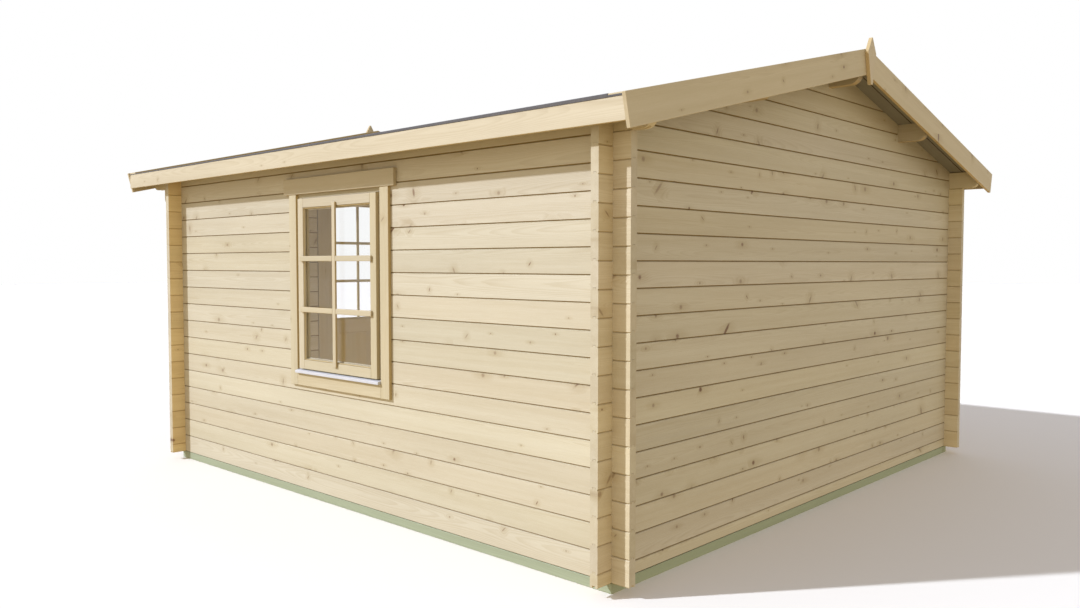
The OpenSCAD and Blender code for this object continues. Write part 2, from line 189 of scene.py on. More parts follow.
def knots_on(tree, along, wide, number, share):
    """Knots on a board, round or as slanting spikes: core, rim, halo and darkness."""
    # One chance of a knot in each hand's breadth
    cell_x = scaled(tree, along, KNOTS_ALONG)
    cell_y = calc(tree, "MULTIPLY_ADD", wide, KNOTS_ACROSS, scaled(tree, number, 13.7))
    links = {"Vector": point(tree, cell_x, cell_y, 0.0), "Scale": 1.0}
    branch = node_of(tree, "ShaderNodeTexVoronoi", links, voronoi_dimensions="2D").outputs
    size_luck, there_luck, kind_luck = split_colour(tree, branch["Color"])
    centre_x, centre_y, _ = split_point(tree, branch["Position"])
    off_x = calc(tree, "DIVIDE", calc(tree, "SUBTRACT", cell_x, centre_x), KNOTS_ALONG)
    off_y = calc(tree, "DIVIDE", calc(tree, "SUBTRACT", cell_y, centre_y), KNOTS_ACROSS)
    there = calc(tree, "LESS_THAN", there_luck, share)
    radius = calc(tree, "MULTIPLY_ADD", calc(tree, "POWER", size_luck, 3.0), 0.0085, 0.0030)

    # A spike leans and reaches further across the board than a round knot
    spike = ramp(tree, kind_luck, 0.62, 0.7)
    lean = scaled(tree, spike, calc(tree, "MULTIPLY_ADD", kind_luck, 7.0, -6.0))
    slanted = calc(tree, "MULTIPLY_ADD", off_y, lean, off_x)
    upright = calc(tree, "DIVIDE", off_y, calc(tree, "MULTIPLY_ADD", spike, 1.6, 0.9))
    uneven = speckle(tree, point(tree, off_x, off_y, number), 140.0)
    reach = calc(tree, "DIVIDE", distance(tree, slanted, upright), radius)
    reach = total(tree, reach, spread(tree, uneven, 0.7))
    core = scaled(tree, ramp(tree, reach, 1.2, 0.7), there)
    rim = scaled(tree, ramp(tree, reach, 2.0, 0.8), there)

    # The fibres flow around the knot in a longer shape
    flow = scaled(tree, off_x, 0.38)
    near = calc(tree, "DIVIDE", distance(tree, flow, upright), radius)
    halo = scaled(tree, ramp(tree, near, 4.2, 0.8), there)

    boldness = calc(tree, "POWER", calc(tree, "DIVIDE", there_luck, max(share, 0.01)), 3.0)
    darkness = scaled(tree, core, calc(tree, "MULTIPLY_ADD", boldness, 0.65, 0.34))
    return core, rim, halo, darkness


def timber(name, early, late, knot=KNOT_BROWN, knots=0.46, ring=0.0036, figure=0.28):
    """Sawn wood: rings around each board's own pith, fibres, streaks, knots, and tinted marks of
    painted bounce light and painted shade.
    """
    made, tree, shader = blank_material(name)
    number = attribute(tree, "board_no")
    along, wide, deep = split_point(tree, attribute(tree, "grain_at", "Vector"))
    along = calc(tree, "MULTIPLY_ADD", number, 3.71, along)
    chance = node_of(tree, "ShaderNodeTexWhiteNoise", {"W": number}, noise_dimensions="1D")
    luck_a, luck_b, luck_c = split_colour(tree, chance.outputs["Color"])

    def stretched(length_scale, cross_scale):
        return point(tree, scaled(tree, along, length_scale), scaled(tree, wide, cross_scale),
                     scaled(tree, deep, cross_scale))

    # The pith wanders slowly along the board, so the rings open into long arches on its faces
    bend_a = speckle(tree, point(tree, along, number, 0.0), 0.75, 1.0)
    bend_b = speckle(tree, point(tree, along, number, 7.0), 0.6, 1.0)
    pith_wide = total(tree, spread(tree, luck_a, 0.11), spread(tree, bend_a, 0.08))
    pith_deep = total(tree, spread(tree, luck_b, 0.17), spread(tree, bend_b, 0.08))
    radius = distance(tree, calc(tree, "SUBTRACT", wide, pith_wide),
                      calc(tree, "SUBTRACT", deep, pith_deep))
    core, rim, halo, darkness = knots_on(tree, along, wide, number, knots)
    fibre = speckle(tree, stretched(4.0, 90.0), 2.6, 3.0, 0.6)
    streak = speckle(tree, stretched(0.8, 26.0), 1.0, 3.0, 0.55)
    broad = speckle(tree, point(tree, along, scaled(tree, wide, 3.0), number), 0.9)

    # Each ring darkens slowly and ends sharply
    turns = calc(tree, "MULTIPLY_ADD", radius, 1.0 / ring, scaled(tree, halo, 1.8))
    turns = total(tree, turns, scaled(tree, streak, 1.3))
    part = calc(tree, "FRACT", turns)
    late_band = scaled(tree, ramp(tree, part, 0.3, 0.93), ramp(tree, part, 1.0, 0.93))

    weight = total(tree, scaled(tree, late_band, figure), spread(tree, streak, 0.8),
                   spread(tree, fibre, 0.4), scaled(tree, halo, 0.34), 0.16)
    light = total(tree, spread(tree, luck_c, BOARD_TONE, 1.0), spread(tree, broad, 0.16))
    links = {"Hue": spread(tree, luck_a, 0.005, 0.5),
             "Saturation": spread(tree, luck_b, 0.12, 1.0),
             "Value": light,
             "Color": blend_colour(tree, weight, early, late)}
    colour = node_of(tree, "ShaderNodeHueSaturation", links).outputs[0]
    end = scaled(tree, attribute(tree, "end_grain"), 0.35)
    colour = blend_colour(tree, end, colour, END_GRAIN_TINT, "MULTIPLY")
    ember = tuple((k + e) / 2 for k, e in zip(knot, late))
    colour = blend_colour(tree, scaled(tree, rim, 0.36), colour, ember)
    colour = blend_colour(tree, darkness, colour, knot)
    # Painted bounce light and painted shade, laid over the wood where the marks are
    for mark, tint in MARK_TINTS.items():
        colour = blend_colour(tree, attribute(tree, mark), colour, tint, "MULTIPLY")
    tree.links.new(colour, shader.inputs["Base Color"])

    rough = calc(tree, "MULTIPLY_ADD", late_band, -0.10, TIMBER_ROUGHNESS)
    rough = total(tree, rough, scaled(tree, core, -0.12))
    tree.links.new(rough, shader.inputs["Roughness"])
    height = calc(tree, "MULTIPLY_ADD", late_band, 0.5, scaled(tree, fibre, 0.6))
    height = total(tree, height, scaled(tree, core, 0.5))
    roughen(tree, shader, height, 0.35, 0.0008)
    shader.inputs["Specular IOR Level"].default_value = 0.3
    return made


def mineral_felt(dark_grit, pale_grit, dust):
    """Roofing felt with crushed slate on bitumen."""
    made, tree, shader = blank_material("mineral_felt")
    spot = object_spot(tree)
    grit = node_of(tree, "ShaderNodeTexVoronoi", {"Vector": spot, "Scale": 420.0}).outputs
    shade = split_colour(tree, grit["Color"])[0]
    cloud = speckle(tree, spot, 3.5, 5.0, 0.6)
    colour = blend_colour(tree, shade, dark_grit, pale_grit)
    colour = blend_colour(tree, ramp(tree, cloud, 0.35, 0.7), colour, dust)
    tree.links.new(colour, shader.inputs["Base Color"])
    rough = calc(tree, "MULTIPLY_ADD", shade, 0.15, 0.8)
    tree.links.new(rough, shader.inputs["Roughness"])
    height = calc(tree, "MULTIPLY_ADD", grit["Distance"], -1.0, scaled(tree, cloud, 0.6))
    roughen(tree, shader, height, 0.6, 0.0015)
    return made


def clear_glass():
    """Glass that lets the light through, reflects more at a slant and has a little dust on it."""
    made, tree, shader = blank_material("clear_glass")
    tree.nodes.remove(shader)
    dust = speckle(tree, object_spot(tree), 6.0, 6.0, 0.65)
    through = node_of(tree, "ShaderNodeBsdfTransparent", {"Color": (0.993, 0.995, 0.994, 1.0)})
    slant = node_of(tree, "ShaderNodeLayerWeight", {"Blend": 0.5}).outputs["Facing"]
    share = calc(tree, "MULTIPLY_ADD", calc(tree, "POWER", slant, 4.5), 0.85, 0.02)
    mirror = node_of(tree, "ShaderNodeBsdfAnisotropic", {"Color": (0.9, 0.92, 0.92, 1.0)})
    tree.links.new(ramp(tree, dust, 0.4, 0.8, 0.02, 0.09), mirror.inputs["Roughness"])
    links = {0: share, 1: through.outputs[0], 2: mirror.outputs[0]}
    mix = node_of(tree, "ShaderNodeMixShader", links)
    tree.links.new(mix.outputs[0], tree.nodes["Material Output"].inputs["Surface"])
    return made


def satin_metal(name, colour, streaks=(900.0, 900.0, 30.0), roughness=0.34, metallic=1.0):
    """Brushed metal with fine streaks and faint stains."""
    made, tree, shader = blank_material(name)
    spot = object_spot(tree)
    run = node_of(tree, "ShaderNodeMapping", {"Vector": spot, "Scale": streaks}).outputs[0]
    brushed = speckle(tree, run, 1.0, 3.0, 0.6)
    stain = ramp(tree, speckle(tree, spot, 22.0, 3.0), 0.35, 0.75, 0.0, 0.6)
    stained = tuple(c * 0.86 for c in colour)
    tree.links.new(blend_colour(tree, stain, colour, stained), shader.inputs["Base Color"])
    rough = calc(tree, "MULTIPLY_ADD", brushed, 0.22, roughness - 0.1)
    tree.links.new(rough, shader.inputs["Roughness"])
    shader.inputs["Metallic"].default_value = metallic
    roughen(tree, shader, brushed, 0.2, 0.0002)
    return made


LOG_PINE = timber("log_pine", (0.548, 0.470, 0.297), (0.405, 0.315, 0.164))
BOARD_PINE = timber("board_pine", (0.550, 0.450, 0.260), (0.41, 0.310, 0.150), knots=0.4)
ROOF_PINE = timber("roof_pine", (0.43, 0.333, 0.170), (0.31, 0.226, 0.102), knots=0.45)
JOINERY_PINE = timber("joinery_pine", (0.510, 0.422, 0.245), (0.41, 0.314, 0.157),
                      knots=0.14, figure=0.24)
BEAM_PINE = timber("beam_pine", (0.47, 0.385, 0.225), (0.36, 0.270, 0.135))
TREATED_PINE = timber("treated_pine", (0.325, 0.345, 0.192), (0.233, 0.242, 0.129),
                      knot=(0.12, 0.10, 0.04), knots=0.4)
HARDWOOD = timber("oiled_hardwood", (0.26, 0.145, 0.065), (0.15, 0.075, 0.032),
                  knot=(0.06, 0.03, 0.012), knots=0.0, ring=0.0025)
FELT = mineral_felt((0.058, 0.050, 0.040), (0.156, 0.136, 0.108), (0.096, 0.084, 0.067))
GLASS = clear_glass()
STEEL = satin_metal("satin_steel", (0.56, 0.54, 0.50))
# Near-black metal for the keyhole: painted shade standing for the dark inside of the key slot
KEYHOLE_SHADE = satin_metal("keyhole_painted_shade", (0.06, 0.06, 0.06))
ALUMINIUM = satin_metal("grey_aluminium", (0.55, 0.52, 0.455), (900.0, 20.0, 900.0), 0.5, 0.0)


# Modelling

# Share of the shade in the stubs' joints, which fit more tightly than those in the wall
STUB_GROOVE = 0.45

# Strength of the painted warm bounce light on the stubs: across the gables, along the sides, and
# facing the sunlit side wall
GABLE_STUB, SIDE_STUB, SUNNY_STUB = 0.45, 0.25, 1.0

# Shade at a groove's rim and in its depth, for a face that looks down and for any other
LOWER_GROOVE, UPPER_GROOVE = (0.85, 1.0), (0.05, 0.8)

# A roof board this far inside a gable wall still counts as its overhang
OVERHANG_START = 0.05


def past_crossing(spot):
    inside = WALL_FRONT - MILLIMETRE < spot.y < WALL_BACK + MILLIMETRE
    return abs(spot.x) > WALL_X + MILLIMETRE or not inside


def cut_at_crossings(bm):
    """Divides the faces of the logs, but not the logs, where they pass through another wall."""
    for at, across in (((-WALL_X, 0, 0), (1, 0, 0)), ((WALL_X, 0, 0), (1, 0, 0)),
                       ((0, WALL_FRONT, 0), (0, 1, 0)), ((0, WALL_BACK, 0), (0, 1, 0))):
        geom = list(bm.verts) + list(bm.edges) + list(bm.faces)
        bmesh.ops.bisect_plane(bm, geom=geom, dist=IN_PLANE, plane_co=at, plane_no=across)


def bevel(bm, edges, offset, segments, clamp=False):
    bmesh.ops.bevel(bm, geom=edges, offset=offset, offset_type="OFFSET", segments=segments,
                    profile=0.5, affect="EDGES", material=-1, clamp_overlap=clamp)


def edges_of(verts):
    """Edges at some vertices, each one once and always in the same order."""
    return list(dict.fromkeys(e for v in verts for e in v.link_edges))


def block(bm, low, high, place=Matrix()):
    """Sharp block between two corners, as its vertices."""
    low, high = Vector(low), Vector(high)
    shape = Matrix.Translation((low + high) / 2) @ Matrix.Diagonal((*(high - low), 1.0))
    return bmesh.ops.create_cube(bm, size=1.0, matrix=place @ shape)["verts"]


def board(bm, low, high, ease, place=Matrix(), segments=2):
    """Board between two corners with eased edges."""
    bevel(bm, edges_of(block(bm, low, high, place)), ease, segments)


def merged_copy(node):
    """A CAD node's triangles in a bmesh of their own, joined at their corners."""
    bm = bmesh.new()
    bm.from_mesh(nodes[node].data)
    bmesh.ops.remove_doubles(bm, verts=bm.verts, dist=WELD)
    return bm


def loose_parts(bm):
    """Vertices of each part that hangs together."""
    left = set(bm.verts)
    for start in list(bm.verts):
        if start not in left:
            continue
        part, queue = [], [start]
        left.discard(start)
        while queue:
            v = queue.pop()
            part.append(v)
            for w in (e.other_vert(v) for e in v.link_edges):
                if w in left:
                    left.discard(w)
                    queue.append(w)
        yield part


def board_axes(island, sloped):
    """Directions along, across and through a board, and its middle and size in each."""
    middle = sum((v.co for v in island), Vector()) / len(island)
    lean = (1 if middle.x > 0 else -1) * ROOF_PITCH if sloped else 0.0
    axes = [Vector((math.cos(lean), 0, -math.sin(lean))),
            Vector((0, 1, 0)),
            Vector((math.sin(lean), 0, math.cos(lean)))]
    spans = [(min(v.co.dot(a) for v in island), max(v.co.dot(a) for v in island)) for a in axes]
    longest_first = sorted(range(3), key=lambda i: spans[i][0] - spans[i][1])
    return ([axes[i] for i in longest_first],
            [sum(spans[i]) / 2 for i in longest_first],
            [spans[i][1] - spans[i][0] for i in longest_first])


def lay_grain(bm, first, sloped=False, grooves=False, crossed=False, overhang=False):
    """Numbers each loose board, lays its grain along it and marks its faces for the end-grain
    tint, painted bounce light and painted shade.
    """
    place = bm.verts.layers.float_vector.new("grain_at")
    number = bm.verts.layers.float.new("board_no")
    end = bm.faces.layers.float.new("end_grain")
    edge_bounce = bm.faces.layers.float.new("edge_painted_bounce")
    stub_bounce = bm.faces.layers.float.new("stub_painted_bounce")
    overhang_shade = bm.faces.layers.float.new("overhang_painted_shade")
    shade = bm.loops.layers.float.new("groove")
    for index, island in enumerate(loose_parts(bm)):
        axes, middle, size = board_axes(island, sloped)
        for v in island:
            v[place] = [v.co.dot(a) - m for a, m in zip(axes, middle)]
            v[number] = first + index
        thin = size[1] > 2 * size[2]
        across_gable = abs(axes[0].x) > 0.5
        for f in {f for v in island for f in v.link_faces}:
            spot = f.calc_center_median()
            to_end, to_edge = (abs(f.normal.dot(a)) for a in axes[:2])
            at_end = to_end > 0.8
            at_edge = thin and not grooves and to_edge > 0.7
            in_groove = grooves and to_end < 0.2 and 0.4 < to_edge < 0.95
            past = crossed and past_crossing(spot)
            sunny = f.normal.y > 0.5 and spot.y < 0 < spot.x
            indoors = WALL_FRONT + OVERHANG_START < spot.y < WALL_BACK - OVERHANG_START
            f[end] = float(at_end)
            # Narrow edges of thin boards carry painted warm bounce light
            f[edge_bounce] = float(at_edge)
            # Downward faces of the roof boards beyond the gable walls carry painted shade
            f[overhang_shade] = float(overhang and not indoors and f.normal.z < 0)
            # Stub faces carry painted warm bounce light, strongest where they face the sunlit side
            # wall
            if past and not at_end:
                f[stub_bounce] = SUNNY_STUB if sunny else GABLE_STUB if across_gable else SIDE_STUB
            # Groove chamfers carry painted shade, darker on faces that look down and towards the
            # groove's depth
            if in_groove:
                rim, core = LOWER_GROOVE if f.normal.z < -0.3 else UPPER_GROOVE
                depth = STUB_GROOVE if past else 1.0
                for corner in f.loops:
                    sunk = size[2] / 2 - abs(corner.vert[place][2])
                    corner[shade] = depth * (core if sunk > MILLIMETRE else rim)


def put(name, data):
    """Object in the scene with a mesh, a light or a camera."""
    made = bpy.data.objects.new(name, data)
    scene.collection.objects.link(made)
    return made


def piece(name, bm, material, slot, body="cabin", stands_for=()):
    """Finished piece from a bmesh, riding on a body."""
    mesh = bpy.data.meshes.new(name)
    bm.normal_update()
    bm.to_mesh(mesh)
    bm.free()
    if "custom_normal" in mesh.attributes:
        mesh.attributes.remove(mesh.attributes["custom_normal"])
    mesh.polygons.foreach_set("use_smooth", [False] * len(mesh.polygons))
    mesh.materials.clear()
    mesh.materials.append(material)
    made = put(name, mesh)
    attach(made, body)
    if stands_for:
        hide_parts(*stands_for)


def dressed(node, material, first=0, ease=0.002, sloped=False, grain=True, logs=False):
    """Copy of a CAD node with eased edges, and with grain on each of its boards."""
    bm = merged_copy(node)
    flat, sharp = math.radians(0.5), math.radians(40)
    bmesh.ops.dissolve_limit(bm, angle_limit=flat, verts=bm.verts, edges=bm.edges)
    if ease:
        corners = [e for e in bm.edges
                   if e.is_manifold and e.is_convex and e.calc_face_angle(0.0) > sharp]
        bevel(bm, corners, ease, 2, clamp=True)
    if logs:
        cut_at_crossings(bm)
    bm.normal_update()
    if grain:
        lay_grain(bm, first, sloped, grooves=logs, crossed=logs)
    piece(node + "_dressed", bm, material, SLOT_OF_NODE[node], BODY_OF_NODE[node], [node])


# Logs and beams. The numbers set each piece's boards apart, so that no two share their grain

for turn, wall in enumerate(("right_wall", "left_wall", "back_wall", "front_wall")):
    dressed(wall + "_odd_logs", LOG_PINE, 100 * turn, ease=0, logs=True)
    dressed(wall + "_even_logs", LOG_PINE, 100 * turn + 50, ease=0, logs=True)
dressed("foundation_sides", TREATED_PINE, 401)
dressed("foundation_ends", TREATED_PINE, 411)
dressed("ridge_beam", BEAM_PINE, 421)
dressed("purlins", BEAM_PINE, 431)


# Roof boards, each one along the slope, with grooves between them on the underside

ROOF_BOARD_COUNT = 40
ROOF_BOARD_GROOVE = 0.004


def roof_boards(node, first):
    """Boards of one slope. Returns the height of their underside at the ridge, and their depth."""
    low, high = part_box(node)
    right = high.x > -low.x
    inner, outer = (low.x, high.x) if right else (high.x, low.x)
    thick = high.z - low.z - abs(outer - inner) * SLOPE
    rise = high.z - thick + abs(inner) * SLOPE
    width = (high.y - low.y) / ROOF_BOARD_COUNT
    lean = Matrix.Identity(4)
    lean[2][0] = -SLOPE if right else SLOPE
    bm = bmesh.new()
    for n in range(ROOF_BOARD_COUNT):
        near = low.y + n * width
        made = block(bm, (low.x, near, 0.0), (high.x, near + width, thick))
        under = [e for e in edges_of(made)
                 if all(v.co.z < thick / 2 for v in e.verts)
                 and abs(e.verts[0].co.y - e.verts[1].co.y) < WELD]
        bevel(bm, under, ROOF_BOARD_GROOVE, 1)
    bmesh.ops.transform(bm, matrix=Matrix.Translation((0, 0, rise)) @ lean, verts=bm.verts)
    bm.normal_update()
    lay_grain(bm, first, sloped=True, grooves=True, overhang=True)
    piece(node + "_laid", bm, ROOF_PINE, SLOT_OF_NODE[node], stands_for=[node])
    return rise, thick


RIDGE_RISE, DECK_DEPTH = roof_boards("right_roof_boards", 501)
roof_boards("left_roof_boards", 561)


# Roofing felt in lapped strips, with a lip over the fascia and a cap on the ridge

SHEET = 0.0032
LAP = 0.09
LOWER_SEAM, UPPER_SEAM = 1.40, 0.70

# A strip begins to rise this far before the next one's top edge, and lies on it this far past it
RISE_BEFORE, REST_PAST = 0.012, 0.004

# Eave lip: height, blunt corner, drop at the front end, and fold's distance from the boards' end
LIP_HEIGHT, LIP_BLUNT, LIP_DROP, LIP_BACK = 0.016, 0.004, 0.011, 0.06

# Ends of the lip below the gable battens: depth, eased edge, and heights in front and behind
LIP_END_DEPTH, LIP_END_EASE, LIP_END_FRONT, LIP_END_BACK = 0.0019, 0.0005, 0.004, 0.008

# Ridge cap: half its width, and its lift over the sheets at the sides and at the ridge
CAP_HALF, CAP_SIDE_LIFT, CAP_RIDGE_LIFT = 0.16, 0.0006, 0.0008


def deck(x):
    """Height of the roof boards' upper face."""
    return RIDGE_RISE + DECK_DEPTH - abs(x) * SLOPE


def drawn_along_ridge(bm, outline, near, far):
    """Closed outline across the roof, drawn out along the ridge."""
    face = bm.faces.new([bm.verts.new((x, near, z)) for x, z in outline])
    grown = bmesh.ops.extrude_face_region(bm, geom=[face])["geom"]
    verts = [v for v in grown if isinstance(v, bmesh.types.BMVert)]
    bmesh.ops.translate(bm, vec=(0, far - near, 0), verts=verts)


def sheet_outline(under):
    """Outline of a sheet from its underside, given as places and lifts over the roof boards."""
    return ([(x, deck(x) + lift) for x, lift in under]
            + [(x, deck(x) + lift + SHEET) for x, lift in reversed(under)])


def felt_strips(node, boards, side):
    low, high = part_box(node)
    board_low, board_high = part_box(boards)
    fascia_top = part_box("fascia_boards")[1].z
    edge = max(abs(low.x), abs(high.x))
    board_end = max(abs(board_low.x), abs(board_high.x))
    bm = bmesh.new()

    # Eave strip, folded over the fascia into a blunt lip that gets flatter towards the front
    top, lip, fold = LOWER_SEAM - LAP, fascia_top + LIP_HEIGHT, board_end - LIP_BACK
    outline = [(top, deck(top)), (board_end, deck(board_end)), (board_end, fascia_top),
               (edge, fascia_top), (edge, lip - LIP_BLUNT), (edge - LIP_BLUNT, lip),
               (fold, deck(fold) + SHEET), (top, deck(top) + SHEET)]
    drawn_along_ridge(bm, [(side * x, z) for x, z in outline], low.y, high.y)
    for v in bm.verts:
        on_lip = (abs(v.co.x) > edge - LIP_BLUNT - MILLIMETRE
                  and v.co.z > fascia_top + MILLIMETRE)
        if on_lip and v.co.y < low.y + MILLIMETRE:
            v.co.z -= LIP_DROP

    # Upper strips, each lying on the one below it
    for lower, upper in ((LOWER_SEAM, UPPER_SEAM), (UPPER_SEAM, LAP + HAIR)):
        start, top_below = upper - LAP, lower - LAP
        knee, rest = top_below - RISE_BEFORE, top_below + REST_PAST
        raised = SHEET + 2 * BED
        outline = sheet_outline([(start, BED), (knee, BED), (rest, raised), (lower, raised)])
        drawn_along_ridge(bm, [(side * x, z) for x, z in outline], low.y, high.y)
    bmesh.ops.recalc_face_normals(bm, faces=bm.faces)

    # Ends of the lip below the gable battens
    inner, outer = sorted((side * (edge - LIP_END_DEPTH), side * edge))
    for near, far, tall in ((board_low.y, low.y - HAIR, LIP_END_FRONT),
                            (high.y + HAIR, board_high.y, LIP_END_BACK)):
        board(bm, (inner, near, fascia_top), (outer, far, fascia_top + tall), LIP_END_EASE)
    piece(node + "_strips", bm, FELT, SLOT_OF_NODE[node], stands_for=[node])


def ridge_cap():
    low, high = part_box("right_roof_felt")
    side_lift, ridge_lift = SHEET + CAP_SIDE_LIFT, SHEET + CAP_RIDGE_LIFT
    outline = sheet_outline([(-CAP_HALF, side_lift), (0.0, ridge_lift), (CAP_HALF, side_lift)])
    bm = bmesh.new()
    drawn_along_ridge(bm, outline, low.y, high.y)
    bmesh.ops.recalc_face_normals(bm, faces=bm.faces)
    piece("ridge_cap_felt", bm, FELT, "roof_felt")


felt_strips("right_roof_felt", "right_roof_boards", 1)
felt_strips("left_roof_felt", "left_roof_boards", -1)
ridge_cap()


# Boards along the roof's edges

dressed("fascia_boards", BOARD_PINE, 601)
dressed("back_bargeboards", BOARD_PINE, 611, sloped=True)
dressed("front_bargeboards", BOARD_PINE, 621, sloped=True)
dressed("gable_battens", BOARD_PINE, 631, sloped=True)
dressed("finials", BOARD_PINE, 641, ease=0.0015)


# Window and door joinery

# Glazing beads: widths, distances from the sash's outer and inner face, and chamfer
OUTER_BEAD, INNER_BEAD = 0.006, 0.012
OUTER_SETBACK, INNER_SETBACK = 0.004, 0.003
BEAD_CHAMFER = 0.0022

# Bars: length past the pane, height over the sash, eased edge and half widths
BAR_PAST_PANE, BAR_PROUD, BAR_EASE = 0.020, 0.012, 0.003
WINDOW_BAR_HALF, DOOR_BAR_HALF = 0.015, 0.011

for turn, node in enumerate(("window_frame", "window_sash", "window_trim", "window_head_board",
                             "door_frame", "door_trim", "door_head_board",
                             "left_leaf_frame", "right_leaf_frame")):
    dressed(node, JOINERY_PINE, 701 + 10 * turn)
dressed("door_threshold", HARDWOOD, 811, ease=0.003)
dressed("window_sill", ALUMINIUM, grain=False)


def glazing_beads(bm, low, high, place, out, back):
    """Chamfered beads around a pane, narrow on its outer face and wider on its inner face."""
    (u0, v0, n0), (u1, v1, n1) = low, high
    for size, start, end in ((OUTER_BEAD, n1 + HAIR, out - OUTER_SETBACK),
                             (INNER_BEAD, back + INNER_SETBACK, n0 - HAIR)):
        left, right = u0 + size + HAIR, u1 - size - HAIR
        for bead_low, bead_high in (((u0, v0), (u0 + size, v1)), ((u1 - size, v0), (u1, v1)),
                                    ((left, v0), (right, v0 + size)),
                                    ((left, v1 - size), (right, v1))):
            board(bm, (*bead_low, start), (*bead_high, end), BEAD_CHAMFER, place, 1)


def window_bars(bm, low, high, place, start, end, half):
    """Lattice of one upright and two level bars on a sash, a little past the pane's edges."""
    (u0, v0, _), (u1, v1, _) = low, high
    middle = (u0 + u1) / 2
    board(bm, (middle - half, v0 - BAR_PAST_PANE, start),
          (middle + half, v1 + BAR_PAST_PANE, end), BAR_EASE, place)
    for share in (1 / 3, 2 / 3):
        v = v0 + (v1 - v0) * share
        for left, right in ((u0 - BAR_PAST_PANE, middle - half - HAIR),
                            (middle + half + HAIR, u1 + BAR_PAST_PANE)):
            board(bm, (left, v - half, start), (right, v + half, end), BAR_EASE, place)


def in_wall(place, node):
    """A node's box along the wall, up and outwards."""
    corners = [place.inverted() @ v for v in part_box(node)]
    return [Vector(map(f, *corners)) for f in (min, max)]


def glazing(name, pane, sash, place, body, first, half_bar):
    """Beads and bars of one pane."""
    low, high = in_wall(place, pane)
    back, out = (v.z for v in in_wall(place, sash))
    bm = bmesh.new()
    glazing_beads(bm, low, high, place, out, back)
    lay_grain(bm, first)
    piece(name + "_beads", bm, JOINERY_PINE, "joinery", body)
    bm = bmesh.new()
    window_bars(bm, low, high, place, out + BED, out + BAR_PROUD, half_bar)
    lay_grain(bm, first + 20)
    piece(name + "_bars", bm, JOINERY_PINE, "joinery", body)


glazing("window", "window_glass", "window_sash", WINDOW_WALL, "cabin", 821, WINDOW_BAR_HALF)
for first, leaf in ((861, "left_leaf"), (901, "right_leaf")):
    glazing(leaf, leaf + "_glass", leaf + "_frame", DOOR_WALL, leaf, first, DOOR_BAR_HALF)


# Lower door panels of upright boards with grooves between them on the outer side

PANEL_BOARD_COUNT = 5
PANEL_GROOVE = 0.0035


def panel_boards(leaf, first):
    low, high = in_wall(DOOR_WALL, leaf + "_panel")
    width = (high.x - low.x) / PANEL_BOARD_COUNT
    bm = bmesh.new()
    for n in range(PANEL_BOARD_COUNT):
        left = low.x + n * width
        block(bm, (left, low.y, low.z), (left + width, high.y, high.z), DOOR_WALL)
    front = (DOOR_WALL @ high).y
    joints = [e for e in bm.edges
              if all(abs(v.co.y - front) < WELD for v in e.verts)
              and abs(e.verts[0].co.x - e.verts[1].co.x) < WELD]
    bevel(bm, joints, PANEL_GROOVE, 1)
    bm.normal_update()
    lay_grain(bm, first, grooves=True)
    piece(leaf + "_panel_boards", bm, JOINERY_PINE, "joinery", leaf, [leaf + "_panel"])


panel_boards("left_leaf", 941)
panel_boards("right_leaf", 951)


# Hinges and handles with their screws

METAL_EASE = 0.0008
SCREW_RADIUS, SCREW_HEAD = 0.0038, 0.0009

# Hinge screws: distances from the plate's free end, and shares of its height
SCREW_INSETS, SCREW_SHARES = (0.010, 0.024), (0.25, 0.75)
HINGES = ("frame_hinges", "left_leaf_hinges", "right_leaf_hinges")


def stud(bm, spot, radius, height, way):
    """Low round head on a face that looks forwards or backwards."""
    middle = Vector(spot) + Vector((0, way * height / 2, 0))
    place = Matrix.Translation(middle) @ Matrix.Rotation(-way * math.pi / 2, 4, "X")
    bmesh.ops.create_cone(bm, cap_ends=True, segments=20, radius1=radius, radius2=0.85 * radius,
                          depth=height, matrix=place)


def hinge_screws(node):
    plates, bm = merged_copy(node), bmesh.new()
    for part in loose_parts(plates):
        spots = [v.co for v in part]
        middle = sum(spots, Vector()) / len(spots)
        free = max((s.x for s in spots), key=lambda x: abs(x - middle.x))
        front = min(s.y for s in spots if abs(s.x - free) < IN_PLANE)
        foot, top = min(s.z for s in spots), max(s.z for s in spots)
        for inset in SCREW_INSETS:
            x = free + math.copysign(inset, middle.x - free)
            for share in SCREW_SHARES:
                spot = (x, front, foot + share * (top - foot))
                stud(bm, spot, SCREW_RADIUS, SCREW_HEAD, -1)
    plates.free()
    piece(node + "_screws", bm, STEEL, SLOT_OF_NODE[node], BODY_OF_NODE[node])


for node in (*HINGES, "door_handles"):
    dressed(node, STEEL, ease=METAL_EASE, grain=False)
for node in HINGES:
    hinge_screws(node)


# Lock under the handle on both sides of the leaf, with heights over the foot of the handle's plate

LOCK_HEIGHT, LOCK_RADIUS, LOCK_PROUD = 0.078, 0.0085, 0.0025
TAIL_HALF, TAIL_FOOT, TAIL_TOP = 0.005, 0.058, 0.0735
KEYHOLE_HALF, KEYHOLE_FOOT, KEYHOLE_TOP, KEYHOLE_PROUD = 0.0012, 0.073, 0.083, 0.0029
PLATE_SCREWS = (0.012, 0.208)


